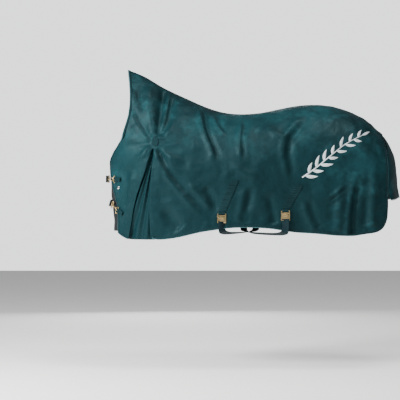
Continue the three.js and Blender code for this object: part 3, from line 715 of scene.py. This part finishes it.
neckLine = rim[0:cornerIndex("frontFoot", -1) + 1]
flankLine = rim[cornerIndex("rearFoot", -1):tailIndex + 1]
farFlankLine = rim[tailIndex:cornerIndex("rearFoot", 1) + 1][::-1]
farNeckLine = rim[cornerIndex("frontFoot", 1):] + rim[:1]
farNeckLine = farNeckLine[::-1]
frontNodes = ("neck_binding", "chest_edge_binding", "front_hem_binding")
rearNodes = ("side_hem_binding", "rear_edge_binding")
bindings = {
    "left": [
        bindingAlong("left_front_edge_tape", neckLine, -1, [f"left_{n}" for n in frontNodes]),
        bindingAlong("left_hem_tape", flankLine, -1, [f"left_{n}" for n in rearNodes]),
    ],
    "right": [
        bindingAlong("right_front_edge_tape", farNeckLine, 1, [f"right_{n}" for n in frontNodes]),
        bindingAlong("right_hem_tape", farFlankLine, 1, [f"right_{n}" for n in rearNodes]),
    ],
}
print("bindings: made")


# The two halves of the cloth.

def half(side):
    sign = -1 if side == "left" else 1
    bm = cloth.copy()
    everything = bm.verts[:] + bm.edges[:] + bm.faces[:]
    bmesh.ops.bisect_plane(
        bm, geom=everything, dist=1e-5, plane_co=(0, 0, 0), plane_no=(0, -sign, 0), clear_outer=True,
    )
    nodes = [f"{side}_{n}" for n in ("front_panel", "side_panel", "front_lining", "side_lining")]
    finishes = [outerCloth, liningCloth]
    made = piece(f"{side}_cloth", bm, finishes, nodes, thick=clothSize["thick"])
    return made


half("left")
half("right")
print("cloth: two halves")


# Shoulder gussets, in behind the front panels.

gussetLook = {
    "underPanels": [0.014, 0.014, 0.012], "depthUnder": 0.0095, "wideAbove": -0.36, "wider": 2.4,
    "upwards": 1.8, "riseOver": 0.07, "nearHem": 0.06, "aboveHem": 0.012, "lift": 0.006,
    "apex": (-0.500, -0.190), "folds": 4, "depth": 0.0075, "inwards": 0.004,
    "thick": 0.0026, "flat": (0.29, 0.66), "area": 0.132,
}


def gusset(side):
    bm = outerSide(f"{side}_shoulder_gusset")
    sign = -1 if side == "left" else 1
    lowest = min(v.co.z for v in bm.verts)
    for reach in gussetLook["underPanels"]:  # on under the panels at the front and rear, and above the slit
        edges = [e for e in bm.edges if e.is_boundary and max(v.co.z for v in e.verts) > lowest + 0.03]
        away = {
            tuple(v.co): v.co.x - sum(f.calc_center_median().x for f in v.link_faces) / len(v.link_faces)
            for e in edges for v in e.verts
        }
        grown = bmesh.ops.extrude_edge_only(bm, edges=edges)["geom"]
        for vert in {v for v in grown if isinstance(v, bmesh.types.BMVert)}:
            wider = gussetLook["wider"] if vert.co.z > gussetLook["wideAbove"] else 1
            ahead = math.copysign(reach * wider, away[tuple(vert.co)])
            rise = min(max((vert.co.z - gussetLook["wideAbove"]) / gussetLook["riseOver"], 0), 1)
            x, z = vert.co.x + ahead, vert.co.z + reach * gussetLook["upwards"] * rise
            while z < lowest + gussetLook["nearHem"]:  # up from below the hem
                if onCloth(x, z, sign)[0] and onCloth(x, z - gussetLook["aboveHem"], sign)[0]:
                    break
                z += gussetLook["lift"]
            place, normal = onCloth(x, z, sign)
            vert.co = place - normal * gussetLook["depthUnder"] if place else Vector((x, vert.co.y, z))
    bm = smoothed(bm, 3)
    co = places(bm)
    gap = sideView(co) - np.array(gussetLook["apex"])
    turn = np.arctan2(gap[:, 0], -gap[:, 1])
    far = np.linalg.norm(gap, axis=1)
    wave = np.sin(turn * 2 * math.pi * gussetLook["folds"] / 0.42 + 1.1)
    sharp = np.sign(wave) * np.abs(wave) ** 0.7
    move(bm, -gussetLook["inwards"] + sharp * gussetLook["depth"] * step(far, 0.02, 0.3) * 0.8)
    spread(bm, clothSpread)
    made = piece(
        f"{side}_gusset_cloth", bm, [outerCloth], [f"{side}_shoulder_gusset"],
        thick=gussetLook["thick"],
    )


def laidOn(node, side, levels, lift, pucker=None):  # a CAD patch or band, laid on the folded cloth
    bm = smoothed(outerSide(node), levels)
    for vert in bm.verts:
        place, normal = onCloth(vert.co.x, vert.co.z, side)
        if place is None:
            continue
        height = lift + (pucker(vert.co) if pucker else 0)
        vert.co = place + normal * height
    return bm


for side, sign in (("left", -1), ("right", 1)):
    gusset(side)
    patch = laidOn(f"{side}_gusset_patch", sign, 3, 0.0026)
    spread(patch, lambda place: (place.x, place.z))
    node = f"{side}_gusset_patch"
    piece(f"{side}_gusset_bar", patch, [greenWebbing], [node], thick=0.0018)
print("gussets: made")


# The surcingles' sewn bands.

bandLook = {"lift": 0.0030, "thick": 0.0022, "pitch": 0.013, "pucker": 0.0012}


def bandPucker(co):
    return bandLook["pucker"] * math.sin(co.z * 2 * math.pi / bandLook["pitch"] + 4 * noise(co * 18))


for end in ("front", "rear"):
    for side, sign in (("left", -1), ("right", 1)):
        node = f"{side}_{end}_surcingle_band"
        band = laidOn(node, sign, 3, bandLook["lift"], bandPucker)
        spread(band, lambda place: (place.z, place.x))
        piece(f"{side}_{end}_band", band, [greenWebbing], [node], thick=bandLook["thick"])
print("bands: sewn on")


# Straps, along the middle of their CAD solids.

def strapFrames(node, finer):  # frames along a strap, from its rings of four points
    bm = cadMesh(node)

    def size(area):  # with a corner's place, to choose in the same way between two equal ends
        return round(sum(f.calc_area() for f in area), 8), min(tuple(-v.co) for f in area for v in f.verts)

    cap = min((a for a in smoothAreas(bm) if len(a) <= 2), key=size)
    ring = {v for f in cap for v in f.verts}
    seen, rings = set(ring), []
    while ring:
        rings.append(sorted((v.co.copy() for v in ring), key=tuple))
        fresh = {e.other_vert(v) for v in ring for e in v.link_edges} - seen
        seen |= fresh
        ring = fresh
    centres, wides = [], []
    for points in rings:
        if len(points) != 4:
            continue
        first = points[0]
        others = sorted(points[1:], key=lambda p: (p - first).length)
        wide = (others[1] + others[2] - first - others[0]).normalized()
        if wides and wide.dot(wides[-1]) < 0:
            wide = -wide
        centres.append(sum(points, Vector()) / 4)
        wides.append(wide)
    count = (len(centres) - 1) * finer
    line = [Vector(p) for p in curved(centres, count)]
    turns = [Vector(p).normalized() for p in curved(wides, count)]
    frames = []
    for i, (centre, wide) in enumerate(zip(line, turns)):
        way = (line[min(i + 1, count)] - line[max(i - 1, 0)]).normalized()
        outward = way.cross(wide).normalized()
        frames.append((centre, outward.cross(way).normalized(), outward))
    bm.free()
    return frames


def webSection(width, thick):  # a flat band with rounded selvedges and a raised line near each
    w, t = width / 2, thick / 2
    return [
        (w, 0), (w - 0.0006, t), (w - 0.003, t), (w - 0.0042, t * 0.75), (0, t * 0.8),
        (-w + 0.0042, t * 0.75), (-w + 0.003, t), (-w + 0.0006, t), (-w, 0), (-w + 0.0006, -t),
        (0, -t * 0.9), (w - 0.0006, -t),
    ]


strapLook = {"chest": (0.038, 0.0024), "belly": (0.044, 0.0024), "roll": 20}


def rolled(frames):  # a slack strap leans over as it passes under the belly
    leant = []
    for i, (centre, wide, outward) in enumerate(frames):
        share = i / (len(frames) - 1)
        lean = math.radians(strapLook["roll"]) * float(step(share, 0.2, 0.4) * step(1 - share, 0.12, 0.3))
        across = wide * math.cos(lean) + outward * math.sin(lean)
        leant.append((centre, across, outward * math.cos(lean) - wide * math.sin(lean)))
    return leant


for name in ("upper", "lower"):
    node = f"{name}_chest_strap"
    made = swept(strapFrames(node, 3), webSection(*strapLook["chest"]))
    piece(f"{name}_chest_webbing", made, [blackWebbing], [node])
for name in ("front", "rear"):
    node = f"{name}_belly_strap"
    made = swept(rolled(strapFrames(node, 3)), webSection(*strapLook["belly"]))
    piece(f"{name}_belly_webbing", made, [beltWebbing], [node])
print("straps: woven")


# Fittings: the CAD shapes, with their facets worn smooth.

def worn(node, voxel, passes):
    return withModifiers(
        cadMesh(node),
        ("REMESH", {"mode": "VOXEL", "voxel_size": voxel, "use_smooth_shade": True}),
        ("SMOOTH", {"factor": 0.5, "iterations": passes}),
    )


fittings = {
    "d_ring": (brass, "brass", 0.0006, 8), "snap_hook": (brass, "brass", 0.0006, 8),
    "snap_gate": (brass, "brass", 0.0005, 6), "swivel_eye": (brass, "brass", 0.0006, 8),
    "slot_plate": (brass, "brass", 0.0006, 4), "hook_plate": (brass, "brass", 0.0006, 4),
    "ring_tab": (greenWebbing, "webbing", 0.0007, 4), "strap_keeper": (blackWebbing, "webbing", 0.0006, 4),
    "plate_loop": (greenWebbing, "webbing", 0.0007, 4),
}
for body in frame["record"]["behaviour"]["bodies"].items():
    for node in body[1]:
        kind = next((k for k in fittings if node.endswith(k)), None)
        if kind is None:
            continue
        finish, slot, voxel, passes = fittings[kind]
        made = worn(node, voxel, passes)
        spread(made, lambda place: (place.x + place.y, place.z))
        piece(f"{node}_worn", made, [finish], [node], body=body[0])
print("fittings: smoothed")


# The stud under the upper closure.

studLook = {
    "steps": 40,
    "profile": [
        (0.0, 0.0042), (0.0035, 0.0040), (0.0066, 0.0032), (0.0078, 0.0024), (0.0085, 0.0024),
        (0.0097, 0.0016), (0.0100, 0.0006), (0.0098, -0.0006),
    ],
}


def stud():
    bm = cadMesh("chest_stud")
    co = places(bm)
    bm.free()
    centre = co.mean(axis=0)
    way = Vector(np.linalg.svd(co - centre)[2][2])
    if way.dot(Vector(centre) - inside) < 0:
        way = -way
    foot, normal = onCloth(centre[0], centre[2], -1)
    way = (way + normal).normalized()
    made = bmesh.new()
    verts = [made.verts.new((r, 0, h)) for r, h in studLook["profile"]]
    edges = [made.edges.new(pair) for pair in zip(verts, verts[1:])]
    bmesh.ops.spin(
        made, geom=verts + edges, cent=(0, 0, 0), axis=(0, 0, 1), angle=2 * math.pi,
        steps=studLook["steps"], use_merge=True,
    )
    bmesh.ops.remove_doubles(made, verts=made.verts, dist=1e-5)
    bmesh.ops.holes_fill(made, edges=[e for e in made.edges if e.is_boundary], sides=0)
    bmesh.ops.recalc_face_normals(made, faces=made.faces)
    turn = Vector((0, 0, 1)).rotation_difference(way)
    for vert in made.verts:
        vert.co = foot + turn @ vert.co
    piece("chest_button", made, [nickel], ["chest_stud"])


stud()


# The underlap behind the chest opening, and the tape inside the back seam.

def underlap():
    bm = smoothed(outerSide("chest_underlap"), 3)
    co = places(bm)
    wave = 0.0025 * np.sin(co[:, 2] * 22 + co[:, 1] * 9) + 0.0012 * np.sin(co[:, 2] * 60 - co[:, 1] * 30)
    move(bm, wave)
    spread(bm, lambda place: (place.y, place.z))
    node = "chest_underlap"
    made = piece("chest_underlap_cloth", bm, [liningCloth], [node], thick=0.0024)


underlap()
seamTape = smoothed(outerSide("back_seam_tape"), 2)
spread(seamTape, lambda place: (place.x, place.y))
piece("back_tape", seamTape, [tape], ["back_seam_tape"], thick=0.001)
print("underlap and seam tape: made")


# The tail flap.

flapLook = {
    "thick": 0.0036, "flat": (0.46, 0.40), "tuck": [(-0.016, 0.016), (-0.022, 0.012)],
    "wings": [(-0.013, 0.011), (-0.012, 0.007)], "wingTop": -0.14, "piping": (0.0030, 0.0040, -0.0018),
}


def sideways(edge):
    a, b = (v.co for v in edge.verts)
    return abs(a.z - b.z) > abs(a.y - b.y) and abs(a.y) > 0.09


def tailFlap():
    bm = outerSide("tail_flap")
    top = max(v.co.z for v in bm.verts) - 0.004
    for back, up in flapLook["tuck"]:  # carries the flap's top in under the panels
        edges = [e for e in bm.edges if e.is_boundary and all(v.co.z > top for v in e.verts)]
        grown = bmesh.ops.extrude_edge_only(bm, edges=edges)["geom"]
        fresh = [v for v in grown if isinstance(v, bmesh.types.BMVert)]
        for vert in fresh:
            vert.co += Vector((back, -vert.co.y * 0.05, up))
        top += up
    for back, out in flapLook["wings"]:  # and its sides on round to the panels' edges
        edges = [e for e in bm.edges if e.is_boundary and sideways(e)]
        edges = [e for e in edges if max(v.co.z for v in e.verts) < flapLook["wingTop"]]
        grown = bmesh.ops.extrude_edge_only(bm, edges=edges)["geom"]
        for vert in {v for v in grown if isinstance(v, bmesh.types.BMVert)}:
            share = float(step(-vert.co.z, 0.19, 0.33))
            vert.co += Vector((back * share, math.copysign(out, vert.co.y) * share, 0))
    bmesh.ops.remove_doubles(bm, verts=bm.verts, dist=0.0004)
    bm = smoothed(bm, 3)
    co = places(bm)
    low = step(-co[:, 2], 0.2, 0.5)
    wave = 0.005 * np.sin(co[:, 1] * 24 + 1.2 * np.sin(co[:, 2] * 9)) * low
    fine = np.array([noise(Vector(p) * 14) for p in co]) * 0.003
    move(bm, (wave + fine) * step(-co[:, 2], 0.16, 0.26))
    spread(bm, lambda place: (place.y, place.z))
    bm.normal_update()
    lowest = [e for e in bm.edges if e.is_boundary]
    joined = {}
    for edge in lowest:
        for vert in edge.verts:
            joined.setdefault(vert, []).append(edge.other_vert(vert))
    left = min(joined, key=lambda v: v.co.y + v.co.z)
    right = min(joined, key=lambda v: -v.co.y + v.co.z)
    line, here = [left], min(joined[left], key=lambda v: abs(v.co.z - left.co.z) - v.co.y)
    while here is not right and len(line) < 500:
        line.append(here)
        here = next(v for v in joined[here] if v not in line)
    line.append(right)
    wide, high, back = flapLook["piping"]
    turns = np.linspace(0, 2 * math.pi, 12, endpoint=False)
    section = [(wide * math.cos(a), back + high * math.sin(a)) for a in turns]
    trim = swept(edgeFrames(edgeNormals(line), False), section)
    made = piece(
        "tail_flap_cloth", bm, [outerCloth, liningCloth], ["tail_flap", "tail_flap_lining"],
        thick=flapLook["thick"], rides=False,
    )
    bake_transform(made)
    edge = piece(
        "tail_flap_piping", trim, [piping], ["tail_flap_binding"], body="tail_flap",
    )


tailFlap()
print("tail flap: hung")


# The embroidered sprig on the left quarter.

sprig = {
    "stem": [(0.400, -0.395), (0.485, -0.335), (0.575, -0.260), (0.675, -0.185), (0.775, -0.135)],
    "leaves": 15, "long": 0.074, "wide": 0.019, "lean": 38, "lift": 0.0012, "thick": 0.0010,
    "stemWide": 0.0052,
}


def leafGrid(bm, along, across, placeAt):
    old = set(bm.verts)
    bmesh.ops.create_grid(bm, x_segments=along, y_segments=across, size=0.5)
    layer = bm.loops.layers.uv.get("cloth")
    fresh = [v for v in bm.verts if v not in old]
    flat = {}
    for vert in fresh:
        u, v = vert.co.x + 0.5, vert.co.y * 2
        (x, z), uv = placeAt(u, v)
        place, normal = onCloth(x, z, -1)
        raised = sprig["lift"] + 0.0010 * (1 - v * v)
        vert.co = place + normal * raised
        flat[vert] = uv
    for face in {f for v in fresh for f in v.link_faces}:
        for loop in face.loops:
            loop[layer].uv = flat[loop.vert]


def embroider():
    bm = bmesh.new()
    bm.loops.layers.uv.new("cloth")
    stem = curved(sprig["stem"], 60)

    def onStem(u, v):
        i = min(int(u * 59.999), 59)
        t = u * 60 - i
        at = stem[i] * (1 - t) + stem[i + 1] * t
        way = (stem[i + 1] - stem[i]) / np.linalg.norm(stem[i + 1] - stem[i])
        reach = sprig["stemWide"] * (1 - 0.55 * u) * v / 2 * 1.6
        return at + np.array([-way[1], way[0]]) * reach, (u * 0.5, v * 0.003)

    leafGrid(bm, 70, 2, onStem)
    for k in range(sprig["leaves"]):
        share = 0.06 + 0.94 * k / (sprig["leaves"] - 1)
        i = min(int(share * 60), 59)
        root, way = stem[i], stem[i + 1] - stem[i]
        lean = 0 if k == sprig["leaves"] - 1 else math.radians(sprig["lean"]) * (1 if k % 2 else -1)
        turn = math.atan2(way[1], way[0]) + lean
        long = sprig["long"] * (1.08 - 0.35 * share) * (1 + 0.12 * math.sin(5.1 * k))
        wide = sprig["wide"] * (1.1 - 0.3 * share)

        def onLeaf(u, v):
            bow = 0.12 * math.sin(math.pi * u) * (1 if lean > 0 else -1) * (0 if lean == 0 else 1)
            a, c = long * u, wide / 2 * v * math.sin(math.pi * u**0.8) ** 0.8 + long * bow * 0.5
            x = root[0] + a * math.cos(turn) - c * math.sin(turn)
            z = root[1] + a * math.sin(turn) + c * math.cos(turn)
            return (x, z), (a, v * wide / 2)

        leafGrid(bm, 12, 4, onLeaf)
    bm.normal_update()
    bmesh.ops.reverse_faces(bm, faces=[f for f in bm.faces if f.normal.y > 0])
    piece("left_quarter_sprig", bm, [silverThread], [], thick=sprig["thick"])


embroider()
print("sprig: embroidered")


# Floor and light.

floorLook = {"height": -1.59, "size": 14, "glow": 0.2}


def floor():
    bm = bmesh.new()
    bmesh.ops.create_grid(bm, x_segments=8, y_segments=8, size=floorLook["size"])
    for vert in bm.verts:
        vert.co.z = floorLook["height"]
    made = newObject("floor", bm)
    finish = Finish("floorPaint", {"Specular IOR Level": 0.2})
    mottle = finish.grain(3, 3)
    pale = finish.mix(mottle, shade(240, 240, 239), shade(246, 246, 245))
    finish.feed(**{"Base Color": pale, "Roughness": 0.8 + mottle * 0.1, "Emission Color": pale})
    finish.shader.inputs["Emission Strength"].default_value = floorLook["glow"]
    made.data.materials.append(finish.material)


def lamp(name, place, aim, size, energy, glossy=True):
    data = bpy.data.lights.new(name, "AREA")
    data.shape = "DISK"
    data.size = size
    data.energy = energy
    made = bpy.data.objects.new(name, data)
    bpy.context.collection.objects.link(made)
    made.location = place
    made.rotation_euler = (Vector(aim) - Vector(place)).to_track_quat("-Z", "Y").to_euler()
    made.visible_glossy = glossy


lamps = {
    "keyLamp": {"place": (-3.3, -2.8, 1.7), "aim": (-0.5, 0, -0.1), "size": 1.0, "energy": 340},
    "chestLamp": {
        "place": (-4.5, -2.3, 0.3), "aim": (-0.7, -0.2, -0.2), "size": 0.8, "energy": 420, "glossy": False,
    },
    "topLamp": {"place": (0.9, -2.0, 3.3), "aim": (0.4, 0, 0), "size": 1.5, "energy": 150},
    "fillLamp": {"place": (3.6, -4.6, 1.6), "aim": (0.6, 0, -0.3), "size": 2.0, "energy": 45},
    "rearLamp": {"place": (-0.6, 5.0, 0.4), "aim": (0, 0, -0.3), "size": 3.2, "energy": 95},
}
studioLook = {"tone": (0.93, 0.94, 0.95, 1), "asLight": 0.25, "seen": 2.0}

floor()
for name, settings in lamps.items():
    lamp(name, **settings)
world = bpy.data.worlds.new("studio")
world.use_nodes = True
backdrop = world.node_tree.nodes["Background"]
backdrop.inputs["Color"].default_value = studioLook["tone"]
seenBackdrop = world.node_tree.nodes.new("ShaderNodeMapRange")  # paler where it is seen than as a light
seenBackdrop.inputs["To Min"].default_value = studioLook["asLight"]
seenBackdrop.inputs["To Max"].default_value = studioLook["seen"]
lightPath = world.node_tree.nodes.new("ShaderNodeLightPath")
world.node_tree.links.new(lightPath.outputs["Is Camera Ray"], seenBackdrop.inputs["Value"])
world.node_tree.links.new(seenBackdrop.outputs["Result"], backdrop.inputs["Strength"])
bpy.context.scene.world = world
print("studio: lit")
